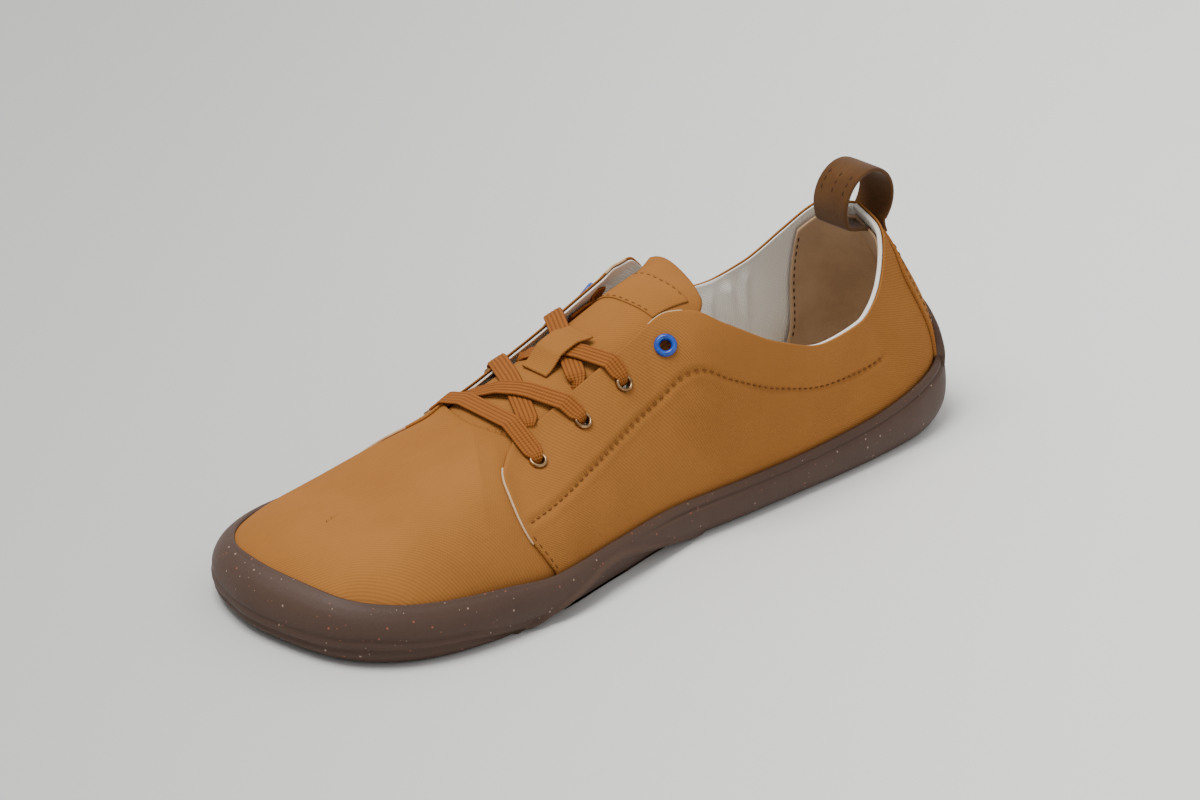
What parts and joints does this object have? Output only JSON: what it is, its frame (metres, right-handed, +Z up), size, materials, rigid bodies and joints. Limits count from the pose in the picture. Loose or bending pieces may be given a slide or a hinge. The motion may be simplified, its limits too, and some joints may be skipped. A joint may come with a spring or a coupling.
{
  "type": "barefoot shoe",
  "caption": "Low lace-up barefoot shoe in canvas with a flat rubber cup sole, flat laces through metal eyelets, a soft tongue and a pull loop at the heel.",
  "frame": {"origin": "centre of the bounding box on the floor under the sole", "axes": "+X from the heel to the toe, +Y to the inner side of the foot, +Z up from the floor"},
  "size_m": [0.284, 0.0982, 0.084],
  "materials": {
    "rubber": "matt dark brown with sparse pale flecks",
    "canvas": "tan cotton twill",
    "insole_cloth": "cream knit over foam",
    "loop_leather": "brown microsuede",
    "lace_cloth": "flat woven, ribbed lengthwise",
    "eyelet_bronze": "dull bronze",
    "eyelet_blue": "blue enamel"
  },
  "bodies": {
    "root": {"outsole": "rubber", "upper": "canvas", "tongue": "canvas", "insole": "insole_cloth", "heel_patch": "canvas", "heel_lining": "loop_leather", "pull_loop": "loop_leather", "lace": "lace_cloth", "lace_keeper": "canvas", "tongue_label": "canvas", "eyelet_inner_1": "eyelet_bronze", "eyelet_inner_2": "eyelet_bronze", "eyelet_inner_3": "eyelet_bronze", "eyelet_inner_top": "eyelet_blue", "eyelet_outer_1": "eyelet_bronze", "eyelet_outer_2": "eyelet_bronze", "eyelet_outer_3": "eyelet_bronze", "eyelet_outer_top": "eyelet_blue"}
  },
  "joints": []
}
